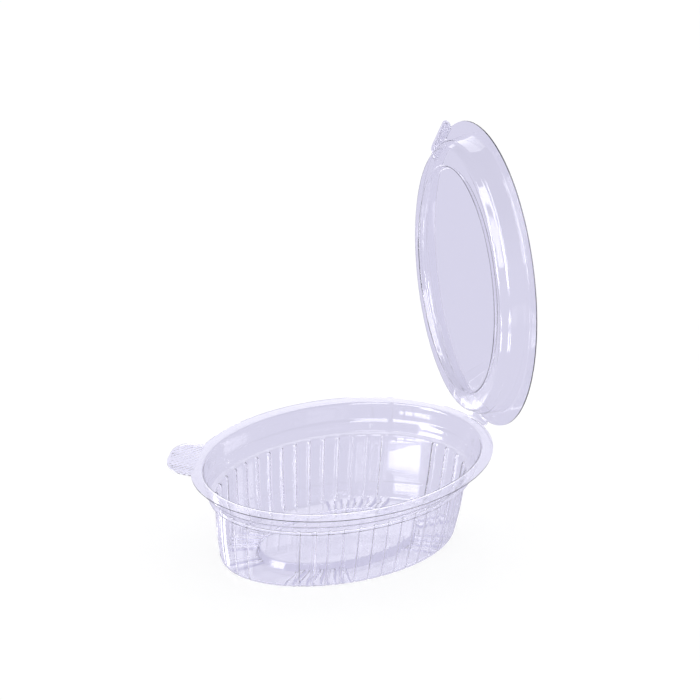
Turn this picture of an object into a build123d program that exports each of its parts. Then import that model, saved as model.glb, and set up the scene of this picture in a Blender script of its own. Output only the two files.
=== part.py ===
from build123d import *
from math import atan2, cos, degrees, dist, hypot, radians, sin
import os

# Oval sauce cup with a hinged lid, thermoformed in one clear sheet. Millimetres, +Z up.
# The origin is the centre of the oval on the surface that the cup stands on.
# The lid is drawn closed on the cup and then turned open about its strap.

# Sheet and rim
sheet = 0.35                  # thickness of the formed sheet
rim_half_length = 45.0        # flange edge, along X
rim_half_width = 29.7         # flange edge, along Y
cup_height = 30.2             # from the table to the inner edge of the flange
flange_width = 3.2
flange_droop = 0.35           # how far the flange's outer edge lies below its inner edge

# Lid seat at the top of the cup: two smooth bands with a crease between them, then a ledge
crease_drop = 5.4             # from the rim to the crease
crease_height = 0.5
crease_step = 0.6
band_draft = 0.75             # how far each band leans in from its top to its bottom
seat_depth = 9.1              # from the rim to the underside of the ledge
ledge_width = 1.8

# Fluted wall
wall_draft = 2.1              # how far the wall leans in from the ledge to the base corner
flute_pitch = 4.4
ridge_depth = 0.85            # how far the ridges between flutes stand inwards
window_start = 33.8           # smooth window in the flutes, as angles round the oval
window_end = 56.5
flute_facets = 4              # flat strips across each flute
corner_bevel = 1.4            # between the wall and the base

# Floor: a raised oval in the middle, with short beads pressed in round it
floor_rise = 2.4
floor_slope = 0.9
foot_width = 9.4              # from the foot's outer edge to the raised oval, at the oval's ends
floor_half_width = 15.6
bead_width = 1.8              # across a bead at the table
bead_top_width = 0.9
bead_height = 0.7
bead_overlap = 1.0            # how far the beads run in under the raised oval
bead_spans = ((52.0, 81.0), (135.0, 158.0), (180.0, 189.0))
bead_counts = (5, 4, 2)

# Lid: a plug that hangs in the cup's mouth
lid_clearance = 0.2           # between the two flanges when the lid is closed
plug_clearance = 0.3          # between the plug and the cup's bands
plug_gap = 0.25               # between the plug's bottom and the ledge
plug_chamfer = 0.5
lid_panel_rise = 1.5          # how far the plug's middle stands above its bottom ring
lid_panel_slope = 0.5
lid_end_ring = 5.5            # width of the bottom ring at the ends of the oval
lid_side_ring = 3.1

# Finger tabs
tab_width = 16.0
cup_tab_reach = 7.1
cup_tab_corner = 6.4
cup_tab_angle = 155.2         # where the tabs leave the oval
lid_tab_reach = 2.7
lid_tab_corner = 2.6
lid_tab_angle = 143.0
root_depth = 2.4              # how far tabs and strap run into the flange

# Hinge strap
hinge_angle = 11.5            # where the strap leaves the oval
hinge_offset = 1.2            # from the flange edge to the fold line
strap_heading = 10.6          # direction of the strap away from the cup
strap_skew = 4.5              # the fold line dips by this much
strap_width = 6.8
strap_slot = 0.5              # kept free along the fold line
open_angle = 90.5             # how far the lid stands open

# How far in from the flange edge the outside lies, from the rim down
crease_inset = flange_width + band_draft
lower_band_inset = crease_inset + crease_step
ledge_inset = lower_band_inset + band_draft
flute_inset = ledge_inset + ledge_width
corner_inset = flute_inset + wall_draft

# Heights above the table
ledge_level = cup_height - seat_depth
crease_top = cup_height - crease_drop
crease_bottom = crease_top - crease_height
lid_rim_level = cup_height + lid_clearance + sheet
plug_bottom = ledge_level + sheet + plug_gap
floor_half_length = rim_half_length - corner_inset - corner_bevel - foot_width


def oval(inset, level):
    """The oval that lies inset from the flange edge, at a level."""
    with BuildSketch(Plane.XY.offset(level)) as section:
        Ellipse(rim_half_length - inset, rim_half_width - inset)
    return section.sketch


def point_on_oval(inset, angle):
    """The point at an angle round the oval that lies inset from the flange edge."""
    x = (rim_half_length - inset) * cos(radians(angle))
    y = (rim_half_width - inset) * sin(radians(angle))
    return x, y


def outward_heading(angle):
    """The direction square to the flange edge at an angle round it, in degrees."""
    x, y = point_on_oval(0.0, angle)
    return degrees(atan2(y / rim_half_width**2, x / rim_half_length**2))


def even_stations(start, end):
    """Angles that cut a stretch of the oval into flutes of one pitch, without the last."""
    angles = [start + (end - start) * i / 1000 for i in range(1001)]
    points = [point_on_oval(flute_inset, angle) for angle in angles]
    run = [0.0]
    for near, far in zip(points, points[1:]):
        run.append(run[-1] + dist(near, far))
    count = round(run[-1] / flute_pitch)
    marks = [run[-1] * i / count for i in range(count)]
    return [next(angle for angle, length in zip(angles, run) if length >= mark) for mark in marks]


half_turn = even_stations(window_end, window_start + 180.0) + [window_start + 180.0]
ridges = half_turn + [angle + 180.0 for angle in half_turn]


def fluted_oval(inset, level):
    """The fluted outline: flutes bow out to the oval and meet in ridges that stand in."""
    points = []
    for start, end in zip(ridges, ridges[1:] + [ridges[0] + 360.0]):
        for i in range(flute_facets):
            across = 2 * i / flute_facets - 1
            angle = start + (end - start) * i / flute_facets
            points.append(point_on_oval(inset + ridge_depth * across**2, angle))
    with BuildSketch(Plane.XY.offset(level)) as section:
        with BuildLine():
            Polyline(*points, close=True)
        make_face()
    return section.sketch


def add_bands(skin, top, bottom):
    """Adds the seat's smooth bands, skin in from the outside."""
    bands = [
        oval(flange_width + skin, top),
        oval(crease_inset + skin, crease_top),
        oval(lower_band_inset + skin, crease_bottom),
        oval(ledge_inset + skin, bottom),
    ]
    loft(bands, ruled=True)


def add_fluted_wall(skin):
    """Adds the fluted wall and the bevel below it, skin in from the outside."""
    walls = [
        fluted_oval(flute_inset + skin, ledge_level + skin),
        fluted_oval(corner_inset + skin, corner_bevel),
        fluted_oval(corner_inset + corner_bevel, skin),
    ]
    loft(walls, ruled=True)


def cut_raised_floor(skin):
    """Takes away the space under the raised floor, grown by skin."""
    with BuildSketch() as base:
        Ellipse(floor_half_length + floor_slope + skin, floor_half_width + floor_slope + skin)
    with BuildSketch(Plane.XY.offset(floor_rise + skin)) as top:
        Ellipse(floor_half_length + skin, floor_half_width + skin)
    loft([base.sketch, top.sketch], ruled=True, mode=Mode.SUBTRACT)


def bead_angles():
    """The angles of all beads round the oval. Each group comes again half a turn on."""
    angles = []
    for (first, last), count in zip(bead_spans, bead_counts):
        angles += [first + (last - first) * i / (count - 1) for i in range(count)]
    return angles + [angle + 180.0 for angle in angles]


def cut_beads(skin):
    """Takes away the bars that press the beads into the base, grown by skin."""
    foot = bead_width / 2 + skin
    crest = bead_top_width / 2 + skin
    crest_level = bead_height + skin
    for angle in bead_angles():
        outer = Vector(*point_on_oval(corner_inset, angle))
        heading = outer.normalized()
        toe = 1 / hypot(
            outer.X / (floor_half_length + floor_slope),
            outer.Y / (floor_half_width + floor_slope),
        )
        start = outer * toe - heading * bead_overlap
        with BuildSketch(Plane(origin=start, x_dir=heading.rotate(Axis.Z, 90), z_dir=heading)) as end:
            Polygon((-foot, 0), (foot, 0), (crest, crest_level), (-crest, crest_level), align=None)
        extrude(end.sketch, amount=(outer * (1 - toe)).length + bead_overlap, mode=Mode.SUBTRACT)


def add_tongue(level, point, heading, width, reach, corner):
    """Adds a tongue of sheet that leaves the flange edge at a point. The level is its top."""
    root = Plane(origin=(*point, level - sheet), x_dir=Vector(1, 0, 0).rotate(Axis.Z, heading))
    with BuildSketch(root) as outline:
        with Locations(((reach - root_depth) / 2, 0)):
            Rectangle(reach + root_depth, width)
        if corner > 0:
            fillet(outline.vertices().sort_by(Axis.X)[-2:], corner)
    extrude(outline.sketch, amount=sheet)


def add_flange(level, tab_angle, tab_reach, tab_corner):
    """Adds the drooping flange, its tab and its half of the strap. The level is its inner edge."""
    edge = level - flange_droop
    tab_point = point_on_oval(0.0, tab_angle)
    add_tongue(edge, tab_point, outward_heading(tab_angle), tab_width, tab_reach, tab_corner)
    strap_point = point_on_oval(0.0, hinge_angle)
    add_tongue(edge, strap_point, strap_heading, strap_width, hinge_offset - strap_slot / 2, 0)
    with BuildSketch(Plane.XY.offset(edge - sheet)) as plate:
        Ellipse(rim_half_length, rim_half_width)
    extrude(plate.sketch, amount=sheet)
    loft([oval(0.0, edge), oval(flange_width, level)], ruled=True)
    loft([oval(0.0, edge - sheet), oval(flange_width, level - sheet)], ruled=True, mode=Mode.SUBTRACT)


os.makedirs("parts", exist_ok=True)

# The space inside the cup
with BuildPart() as cup_space:
    add_bands(sheet, cup_height, ledge_level + sheet)
    add_fluted_wall(sheet)
    cut_raised_floor(sheet)
    cut_beads(sheet)

# The cup: the outside of the form with its flange, less the space inside
with BuildPart() as cup:
    add_flange(cup_height, cup_tab_angle, cup_tab_reach, cup_tab_corner)
    add_bands(0.0, cup_height - sheet / 2, ledge_level)
    add_fluted_wall(0.0)
    cut_raised_floor(0.0)
    cut_beads(0.0)
    add(cup_space.part, mode=Mode.SUBTRACT)
cup.part.label = "cup"
export_step(cup.part, "parts/cup.step")


def lid_panel(growth, level):
    """The outline of the step in the plug's bottom, grown outwards, at a level."""
    edge = ledge_inset + sheet + plug_clearance - growth
    with BuildSketch(Plane.XY.offset(level)) as section:
        Ellipse(rim_half_length - edge - lid_end_ring, rim_half_width - edge - lid_side_ring)
    return section.sketch


def add_plug(skin):
    """Adds the lid's plug with the step in its bottom, skin in from the outside."""
    gap = sheet + plug_clearance + skin
    bottom = plug_bottom + skin
    plug = [
        oval(flange_width + gap, lid_rim_level - sheet / 2 if skin == 0 else lid_rim_level),
        oval(crease_inset + gap, crease_top),
        oval(lower_band_inset + gap, crease_bottom),
        oval(ledge_inset + gap, bottom + plug_chamfer),
        oval(ledge_inset + gap + plug_chamfer, bottom),
    ]
    loft(plug, ruled=True)
    step = [
        lid_panel(skin, plug_bottom - sheet),
        lid_panel(skin - lid_panel_slope, bottom + lid_panel_rise),
    ]
    loft(step, ruled=True, mode=Mode.SUBTRACT)


# The space inside the lid's plug
with BuildPart() as plug_space:
    add_plug(sheet)

# The lid, closed on the cup
with BuildPart() as closed_lid:
    add_flange(lid_rim_level, lid_tab_angle, lid_tab_reach, lid_tab_corner)
    add_plug(0.0)
    add(plug_space.part, mode=Mode.SUBTRACT)

# The lid turned open about the fold line of its strap
fold_heading = Vector(1, 0, 0).rotate(Axis.Z, strap_heading)
fold_point = Vector(*point_on_oval(0.0, hinge_angle)) + fold_heading * hinge_offset
fold_point += Vector(0, 0, cup_height - flange_droop + lid_clearance / 2)
fold_line = Vector(0, 1, 0).rotate(Axis.Z, strap_heading).rotate(Axis((0, 0, 0), fold_heading), -strap_skew)
with BuildPart() as lid:
    add(closed_lid.part.rotate(Axis(fold_point, fold_line), open_angle))
lid.part.label = "lid"
export_step(lid.part, "parts/lid.step")
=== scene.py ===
"""Oval sauce cup with a hinged plug lid, pressed in one clear plastic sheet.

The cup and the lid are ring forms: one closed oval after another, from the middle of the
floor out to the trimmed flange. Geometry Nodes press the flutes, the beads and the knurl
into them, and Solidify gives the sheet its thickness. A bent strap joins the two.
Sizes are in millimetres and become metres when a mesh is made.
"""

import logging
import math
from dataclasses import dataclass, field, replace
from enum import Enum

import bmesh
import bpy
import numpy as np
from mathutils import Matrix, Vector


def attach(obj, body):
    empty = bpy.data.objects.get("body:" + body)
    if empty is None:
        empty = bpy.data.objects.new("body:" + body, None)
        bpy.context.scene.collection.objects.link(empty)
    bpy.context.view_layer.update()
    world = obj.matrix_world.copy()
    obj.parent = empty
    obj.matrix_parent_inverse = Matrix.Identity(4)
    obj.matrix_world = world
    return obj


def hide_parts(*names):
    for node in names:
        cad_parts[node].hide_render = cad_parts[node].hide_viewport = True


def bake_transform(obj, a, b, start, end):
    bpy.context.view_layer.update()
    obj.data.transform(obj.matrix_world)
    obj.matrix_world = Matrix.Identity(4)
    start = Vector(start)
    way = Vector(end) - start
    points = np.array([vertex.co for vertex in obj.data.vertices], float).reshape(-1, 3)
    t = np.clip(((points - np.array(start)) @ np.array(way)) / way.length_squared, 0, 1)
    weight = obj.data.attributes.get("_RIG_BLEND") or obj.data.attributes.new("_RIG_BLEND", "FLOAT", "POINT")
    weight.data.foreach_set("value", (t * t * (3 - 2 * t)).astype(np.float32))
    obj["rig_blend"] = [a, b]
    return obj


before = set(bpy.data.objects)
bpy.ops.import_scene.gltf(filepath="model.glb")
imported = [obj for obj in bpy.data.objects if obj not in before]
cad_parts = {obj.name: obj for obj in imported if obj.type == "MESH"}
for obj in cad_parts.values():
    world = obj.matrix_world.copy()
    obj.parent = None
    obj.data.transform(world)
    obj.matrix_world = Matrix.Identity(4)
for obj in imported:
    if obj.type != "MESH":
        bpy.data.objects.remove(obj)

MM = 0.001
"""Size of a millimetre in a mesh."""

FAR = 99.0
"""A distance, in millimetres, at which no bead shows."""

CREASE_ANGLE = 38.0
"""Edges that turn further than this, in degrees, are shaded sharp."""

PAINTED_SHADE = "painted_shade"
# The attribute that marks where shade is painted into the sheet's colour.
"""The attribute that says where the sheet is drawn out of its even thickness."""

LAYERS = (
    "turn", "flute", "fluting", "bead", "beading", "shade",
    "knurl_along", "knurl_across", "knurling",
)
"""The attributes that only the relief tree reads."""

Sockets = bpy.types.bpy_prop_collection
"""The inputs of a tree, by name."""

Face = tuple[int, ...]
"""The numbers of a face's points."""

Colour = tuple[float, float, float]
"""Red, green and blue, from 0 to 1."""

log = logging.getLogger("sauce_cup")


class Ray(Enum):
    """The kinds of ray that the sheet, the world and the floor answer in their own way."""

    GLOSSY = "Is Glossy Ray"
    TRANSMISSION = "Is Transmission Ray"
    SHADOW = "Is Shadow Ray"


# ---------------------------------------------------------------- node trees


@dataclass
class NodeWriter:
    """Adds nodes to a tree and links them.

    Attributes:
        tree: The node tree that is written to.
    """

    tree: bpy.types.NodeTree

    def add(self, kind: str, **settings: object) -> bpy.types.Node:
        """Adds one node.

        Args:
            kind: The node's type name.
            **settings: Properties that are set on the node.

        Returns:
            The new node.
        """
        node = self.tree.nodes.new(kind)
        for name, value in settings.items():
            setattr(node, name, value)
        return node

    def feed(self, socket: bpy.types.NodeSocket, value: object) -> None:
        """Links a socket into another, or sets its value.

        Args:
            socket: The input socket.
            value: An output socket, or a plain value.
        """
        if isinstance(value, bpy.types.NodeSocket):
            self.tree.links.new(value, socket)
        else:
            socket.default_value = value

    def maths(self, operation: str, *values: object) -> bpy.types.NodeSocket:
        """Adds a Math node.

        Args:
            operation: The node's operation.
            *values: Sockets or numbers for its inputs, in order.

        Returns:
            Its output socket.
        """
        node = self.add("ShaderNodeMath", operation=operation)
        for socket, value in zip(node.inputs, values):
            self.feed(socket, value)
        return node.outputs[0]

    def span(self, value: object, low: object, high: object,
             smooth: bool = True) -> bpy.types.NodeSocket:
        """Maps a value from low and high to 0 and 1.

        Args:
            value: The value or socket that is mapped.
            low: What becomes 0.
            high: What becomes 1.
            smooth: Whether the ends are eased.

        Returns:
            The mapped value's socket.
        """
        kind = "SMOOTHSTEP" if smooth else "LINEAR"
        node = self.add("ShaderNodeMapRange", interpolation_type=kind)
        for name, given in (("Value", value), ("From Min", low), ("From Max", high)):
            self.feed(node.inputs[name], given)
        return node.outputs["Result"]


@dataclass
class PressedRelief:
    """The Geometry Nodes tree that presses flutes, beads and knurl into a sheet.

    The sheet's points carry the attributes that LAYERS names. The tree turns them into a
    shape, and marks where shade is painted into the sheet's colour.

    Attributes:
        knurl_sharpness: How narrow the knurl's lines are, as a power of a wave.
        inputs: The identifier of each input, by the input's name.
    """

    knurl_sharpness: float = 6.0
    inputs: dict[str, str] = field(default_factory=dict)

    def build(self) -> bpy.types.NodeTree:
        """Writes the tree.

        Returns:
            The Geometry Nodes tree.
        """
        tree = bpy.data.node_groups.new("pressed_relief", "GeometryNodeTree")
        for way in ("OUTPUT", "INPUT"):
            tree.interface.new_socket(
                name="Geometry", in_out=way, socket_type="NodeSocketGeometry")
        kinds = {name: "NodeSocketFloat" for name in ReliefSizes().inputs()}
        kinds["Finish"] = "NodeSocketMaterial"
        for name, kind in kinds.items():
            socket = tree.interface.new_socket(name=name, in_out="INPUT", socket_type=kind)
            self.inputs[name] = socket.identifier
        pen = NodeWriter(tree)
        given = pen.add("NodeGroupInput").outputs
        flutes = self._flutes(pen, given)
        slope, knurl = self._bead_slope(pen, given), self._knurl(pen, given)
        lift = pen.maths("MULTIPLY", knurl, given["Knurl Depth"])
        lift = pen.maths("ADD", self._beads(pen, given, slope), lift)
        offset = pen.add("ShaderNodeCombineXYZ")
        for axis, trig in (("X", "COSINE"), ("Y", "SINE")):
            inward = pen.maths("MULTIPLY", pen.maths(trig, self._named(pen, "turn")), -1.0)
            pen.feed(offset.inputs[axis], pen.maths("MULTIPLY", inward, flutes))
        pen.feed(offset.inputs["Z"], lift)
        press = pen.add("GeometryNodeSetPosition")
        pen.feed(press.inputs["Geometry"], given["Geometry"])
        pen.feed(press.inputs["Offset"], offset.outputs[0])
        # Stores the mask of painted shade, which the sheet's material darkens its colour by.
        mark = pen.add("GeometryNodeStoreNamedAttribute", data_type="FLOAT", domain="POINT")
        pen.feed(mark.inputs["Geometry"], press.outputs["Geometry"])
        pen.feed(mark.inputs["Name"], PAINTED_SHADE)
        line = pen.maths("MULTIPLY", knurl, given["Knurl Shade"])
        pen.feed(mark.inputs["Value"], self._painted_shade(pen, slope, line))
        whole = pen.add("GeometryNodeRealizeInstances")
        pen.feed(whole.inputs["Geometry"], mark.outputs["Geometry"])
        dress = pen.add("GeometryNodeSetMaterial")
        pen.feed(dress.inputs["Geometry"], whole.outputs["Geometry"])
        pen.feed(dress.inputs["Material"], given["Finish"])
        end = pen.add("NodeGroupOutput")
        pen.feed(end.inputs["Geometry"], dress.outputs["Geometry"])
        return tree

    @staticmethod
    def _named(pen: NodeWriter, name: str) -> bpy.types.NodeSocket:
        """Reads a point attribute of the sheet.

        Args:
            pen: The writer of this tree.
            name: The attribute's name.

        Returns:
            The attribute's socket.
        """
        node = pen.add("GeometryNodeInputNamedAttribute", data_type="FLOAT")
        pen.feed(node.inputs["Name"], name)
        return node.outputs["Attribute"]

    def _flutes(self, pen: NodeWriter, given: Sockets) -> bpy.types.NodeSocket:
        """Writes how far a point is pressed inwards.

        The sheet is flat across a flute and rises to a round ridge between two.

        Args:
            pen: The writer of this tree.
            given: The tree's inputs.

        Returns:
            The depth's socket.
        """
        across = pen.span(self._named(pen, "flute"), given["Ridge Foot"], 1.0, smooth=False)
        bow = pen.maths("MULTIPLY", across, across)
        rest = pen.maths("SUBTRACT", 1.0, given["Ridge Rounding"])
        steep = pen.maths("DIVIDE", given["Ridge Rounding"], rest)
        side = pen.maths("SUBTRACT", 1.0, across)
        crown = pen.maths("MULTIPLY", steep, pen.maths("MULTIPLY", side, side))
        crown = pen.maths("SUBTRACT", given["Ridge Rounding"], crown)
        near = pen.maths("GREATER_THAN", across, given["Ridge Rounding"])
        change = pen.maths("MULTIPLY", near, pen.maths("SUBTRACT", crown, bow))
        shape = pen.maths("ADD", bow, change)
        depth = pen.maths("MULTIPLY", shape, given["Ridge Depth"])
        return pen.maths("MULTIPLY", depth, self._named(pen, "fluting"))

    def _bead_slope(self, pen: NodeWriter, given: Sockets) -> bpy.types.NodeSocket:
        """Writes how far up a bead's side a column lies, from 0 at its foot to 1 on top."""
        return pen.span(self._named(pen, "bead"), given["Bead Foot"], given["Bead Crest"])

    @staticmethod
    def _beads(pen: NodeWriter, given: Sockets,
               slope: bpy.types.NodeSocket) -> bpy.types.NodeSocket:
        """Writes how far a point of the base is lifted on to a bead.

        Args:
            pen: The writer of this tree.
            given: The tree's inputs.
            slope: How far up a bead's side the column lies.

        Returns:
            The lift's socket.
        """
        level = pen.maths("MULTIPLY", slope, given["Bead Height"])
        place = pen.add("ShaderNodeSeparateXYZ")
        pen.feed(place.inputs[0], pen.add("GeometryNodeInputPosition").outputs[0])
        return pen.maths("MAXIMUM", pen.maths("SUBTRACT", level, place.outputs["Z"]), 0.0)

    def _painted_shade(self, pen: NodeWriter, slope: bpy.types.NodeSocket,
               line: bpy.types.NodeSocket) -> bpy.types.NodeSocket:
        """Writes where shade is painted into the sheet's colour, from 0 to 1.

        Args:
            pen: The writer of this tree.
            slope: How far up a bead's side a column lies.
            line: How strongly shade is painted along a line of the knurl.

        Returns:
            The mask's socket: painted shade on the beads' sides, the knurl's lines and the rings.
        """
        # Four times the product of both shares is 0 at a side's ends and 1 halfway up.
        both = pen.maths("MULTIPLY", slope, pen.maths("SUBTRACT", 1.0, slope))
        side = pen.maths("MULTIPLY", both, 4.0)
        side = pen.maths("MULTIPLY", side, self._named(pen, "beading"))
        return pen.maths("MAXIMUM", pen.maths("MAXIMUM", side, line), self._named(pen, "shade"))

    def _knurl(self, pen: NodeWriter, given: Sockets) -> bpy.types.NodeSocket:
        """Writes the raised lines that cross on a finger tab.

        Args:
            pen: The writer of this tree.
            given: The tree's inputs.

        Returns:
            The lines' strength, from 0 to 1.
        """
        along = self._named(pen, "knurl_along")
        across = self._named(pen, "knurl_across")
        lines = []
        for mix in ("ADD", "SUBTRACT"):
            phase = pen.maths("DIVIDE", pen.maths(mix, along, across), given["Knurl Pitch"])
            wave = pen.maths("COSINE", pen.maths("MULTIPLY", phase, math.pi))
            lines.append(pen.maths("POWER", pen.maths("ABSOLUTE", wave), self.knurl_sharpness))
        return pen.maths("MULTIPLY", pen.maths("MAXIMUM", *lines), self._named(pen, "knurling"))


# ---------------------------------------------------------------- finish


@dataclass(frozen=True)
class ClearSheet:
    """Clear pressed plastic with a breath of lavender.

    Attributes:
        face_tint: Colour that one surface lets through where it is seen square on.
        edge_tint: The same where it is seen along the sheet.
        edge_falloff: How late the edge tint sets in.
        painted_shade_tint: A darker colour, painted shade on beads, knurl lines and floor slope.
        painted_shade_roughness: How much duller the sheet is where shade is painted.
        shadow_tint: Colour of the light that the sheet lets through to what lies below.
        refraction: Index of refraction.
        smooth: Roughness of the shiniest places.
        dull: Roughness of the dullest places.
        haze_scale: Scale of the change between the two.
        haze_range: The part of that change's noise that is used.
        draw_depth: Height of the faint draw marks, in millimetres.
        draw_scale: Scale of the draw marks.
        draw_stretch: How much the marks are drawn out upwards, as a share of their scale.
    """

    face_tint: Colour = (0.972, 0.97, 0.985)
    edge_tint: Colour = (0.9, 0.89, 0.945)
    edge_falloff: float = 4.0
    painted_shade_tint: Colour = (0.76, 0.75, 0.85)
    painted_shade_roughness: float = 0.03
    shadow_tint: Colour = (0.96, 0.96, 0.985)
    refraction: float = 1.5
    smooth: float = 0.02
    dull: float = 0.07
    haze_scale: float = 90.0
    haze_range: tuple[float, float] = (0.35, 0.7)
    draw_depth: float = 0.003
    draw_scale: float = 260.0
    draw_stretch: float = 0.25

    def build(self) -> bpy.types.Material:
        """Writes the material.

        Returns:
            The clear sheet's material.
        """
        material = bpy.data.materials.new("clear_sheet")
        material.use_nodes = True
        tree = material.node_tree
        tree.nodes.clear()
        pen = NodeWriter(tree)
        place = pen.add("ShaderNodeTexCoord").outputs["Object"]
        # Painted shade: the beads' sides, the knurl's lines and the floor's slope get a darker tint.
        mask = pen.add("ShaderNodeAttribute", attribute_type="GEOMETRY", attribute_name=PAINTED_SHADE)
        painted_shade = mask.outputs["Fac"]
        plastic = pen.add("ShaderNodeBsdfPrincipled")
        plastic.inputs["Transmission Weight"].default_value = 1.0
        plastic.inputs["IOR"].default_value = self.refraction
        plastic.inputs["Metallic"].default_value = 0.0
        pen.feed(plastic.inputs["Roughness"], self._roughness(pen, place, painted_shade))
        pen.feed(plastic.inputs["Base Color"], self._tint(pen, painted_shade))
        pen.feed(plastic.inputs["Normal"], self._draw_marks(pen, place))

        clear = pen.add("ShaderNodeBsdfTransparent")
        clear.inputs["Color"].default_value = (*self.shadow_tint, 1.0)
        mix = pen.add("ShaderNodeMixShader")
        pen.feed(mix.inputs[0], pen.add("ShaderNodeLightPath").outputs[Ray.SHADOW.value])
        pen.feed(mix.inputs[1], plastic.outputs[0])
        pen.feed(mix.inputs[2], clear.outputs[0])
        out = pen.add("ShaderNodeOutputMaterial")
        pen.feed(out.inputs["Surface"], mix.outputs[0])
        return material

    def _roughness(self, pen: NodeWriter, place: bpy.types.NodeSocket,
                   painted_shade: bpy.types.NodeSocket) -> bpy.types.NodeSocket:
        """Writes the roughness: a faint haze, and duller where shade is painted.

        Args:
            pen: The writer of this tree.
            place: The place on the piece.
            painted_shade: Where shade is painted.

        Returns:
            The roughness's socket.
        """
        haze = pen.add("ShaderNodeTexNoise")
        pen.feed(haze.inputs["Vector"], place)
        haze.inputs["Scale"].default_value = self.haze_scale
        haze.inputs["Detail"].default_value = 4.0
        spread = pen.span(haze.outputs[0], *self.haze_range)
        rough = pen.maths("MULTIPLY_ADD", spread, self.dull - self.smooth, self.smooth)
        return pen.maths("MULTIPLY_ADD", painted_shade, self.painted_shade_roughness, rough)

    def _tint(self, pen: NodeWriter, painted_shade: bpy.types.NodeSocket) -> bpy.types.NodeSocket:
        """Writes the colour: deeper along the sheet's edges, and darker where shade is painted.

        Args:
            pen: The writer of this tree.
            painted_shade: Where shade is painted.

        Returns:
            The colour's socket.
        """
        facing = pen.add("ShaderNodeLayerWeight")
        facing.inputs["Blend"].default_value = 0.5
        edge = pen.maths("POWER", facing.outputs["Facing"], self.edge_falloff)
        tint = pen.add("ShaderNodeMix", data_type="RGBA")
        pen.feed(tint.inputs["Factor"], edge)
        tint.inputs["A"].default_value = (*self.face_tint, 1.0)
        tint.inputs["B"].default_value = (*self.edge_tint, 1.0)
        # Mixes in the darker tint of painted shade where the mask lies.
        deep = pen.add("ShaderNodeMix", data_type="RGBA")
        pen.feed(deep.inputs["Factor"], painted_shade)
        pen.feed(deep.inputs["A"], tint.outputs["Result"])
        deep.inputs["B"].default_value = (*self.painted_shade_tint, 1.0)
        return deep.outputs["Result"]

    def _draw_marks(self, pen: NodeWriter,
                    place: bpy.types.NodeSocket) -> bpy.types.NodeSocket:
        """Writes the faint marks that the draw leaves, longer upwards than across.

        Args:
            pen: The writer of this tree.
            place: The place on the piece.

        Returns:
            The normal's socket.
        """
        marks = pen.add("ShaderNodeMapping")
        pen.feed(marks.inputs["Vector"], place)
        marks.inputs["Scale"].default_value = (1.0, 1.0, self.draw_stretch)
        draw = pen.add("ShaderNodeTexNoise")
        pen.feed(draw.inputs["Vector"], marks.outputs[0])
        draw.inputs["Scale"].default_value = self.draw_scale
        draw.inputs["Detail"].default_value = 2.0
        ripple = pen.add("ShaderNodeBump")
        ripple.inputs["Strength"].default_value = 1.0
        ripple.inputs["Distance"].default_value = self.draw_depth * MM
        pen.feed(ripple.inputs["Height"], draw.outputs[0])
        return ripple.outputs[0]


# ---------------------------------------------------------------- shared form


@dataclass(frozen=True)
class OvalRim:
    """The oval that cup and lid share.

    Attributes:
        half_length: Flange edge along X.
        half_width: Flange edge along Y.
        sheet: Thickness of the sheet.
        flange: Width of the flange.
        droop: How far the flange's outer edge lies below its inner edge.
    """

    half_length: float = 45.0
    half_width: float = 29.7
    sheet: float = 0.35
    flange: float = 3.2
    droop: float = 0.35

    def point(self, inset: float, angle: float) -> tuple[float, float]:
        """Gives a point of the oval that lies inset from the flange edge.

        Args:
            inset: How far in it lies.
            angle: Its angle round the oval, in degrees.

        Returns:
            Its place along X and Y.
        """
        turn = math.radians(angle)
        length, width = self.half_length - inset, self.half_width - inset
        return length * math.cos(turn), width * math.sin(turn)

    def drop(self, inset: float) -> float:
        """Gives how far the drooping flange has fallen at a place inset from its edge."""
        return self.droop * (1.0 - inset / self.flange)

    def heading(self, angle: float) -> float:
        """Gives the direction square to the flange edge, in degrees, at an angle round it."""
        x, y = self.point(0.0, angle)
        return math.degrees(math.atan2(y / self.half_width**2, x / self.half_length**2))


@dataclass(frozen=True)
class Knot:
    """One corner of a section from the middle of the form to its edge.

    Attributes:
        length: Half length of the oval there.
        width: Half width of the oval there.
        level: Its height.
        rounding: How far the corner's curve reaches each way.
        fluting: How strongly flutes show there, from 0 to 1.
        step: The longest run between two rings before it, or 0 for the section's own.
        beading: Whether shade is painted on the beads' sides there, 0 or 1.
        shade: How strongly shade is painted into the sheet's colour there, from 0 to 1.
    """

    length: float
    width: float
    level: float
    rounding: float = 0.0
    fluting: float = 0.0
    step: float = 0.0
    beading: float = 0.0
    shade: float = 0.0

    def values(self) -> np.ndarray:
        """Gives the numbers that change from ring to ring."""
        place = [self.length, self.width, self.level]
        return np.array(place + [self.fluting, self.beading, self.shade])


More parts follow.
